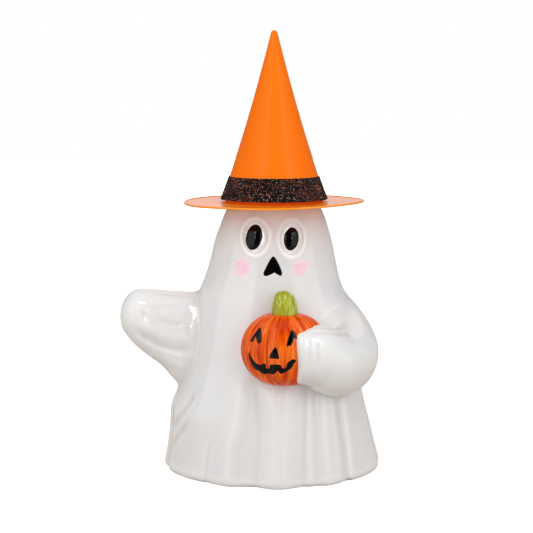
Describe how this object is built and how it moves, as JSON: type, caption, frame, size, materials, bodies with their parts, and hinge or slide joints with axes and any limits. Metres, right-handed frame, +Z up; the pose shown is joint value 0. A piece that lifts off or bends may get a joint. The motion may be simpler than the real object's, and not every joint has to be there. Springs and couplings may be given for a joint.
{
  "type": "ceramic ghost figure",
  "caption": "Glazed ceramic ghost in a draped sheet, one arm raised and one holding a jack-o'-lantern, under a pointed metal witch's hat that lifts off.",
  "frame": {"origin": "on the table, on the hat's axis, in the plane of the foot ring", "axes": "+Z up along the hat's axis, -Y out of the ghost's face, +X towards the arm that holds the pumpkin"},
  "size_m": [0.2391, 0.1736, 0.3976],
  "materials": {
    "white_glaze": "high gloss clear glaze over white earthenware",
    "pumpkin_glaze": "hand-brushed orange underglaze, gloss",
    "stem_glaze": "hand-brushed green underglaze, gloss",
    "black_enamel": "raised black enamel, gloss",
    "cheek_glitter": "fine pink glitter in a clear binder",
    "hat_metal": "satin orange baked enamel on steel sheet",
    "ribbon": "black glitter ribbon with copper flecks"
  },
  "bodies": {
    "ghost": {"gown": "white_glaze", "raised_arm": "white_glaze", "pumpkin_arm": "white_glaze", "pumpkin": "pumpkin_glaze", "pumpkin_stem": "stem_glaze", "left_eye": "black_enamel", "right_eye": "black_enamel", "nose": "black_enamel", "left_cheek": "cheek_glitter", "right_cheek": "cheek_glitter", "pumpkin_eyes": "black_enamel", "pumpkin_nose": "black_enamel", "pumpkin_mouth": "black_enamel"},
    "hat": {"hat_brim": "hat_metal", "hat_cone": "hat_metal", "hat_band": "ribbon"}
  },
  "joints": [
    {"name": "hat_lift", "type": "slide", "parent": "ghost", "child": "hat", "axis": [0, 0, 1], "range_m": [0, 0.03]}
  ]
}
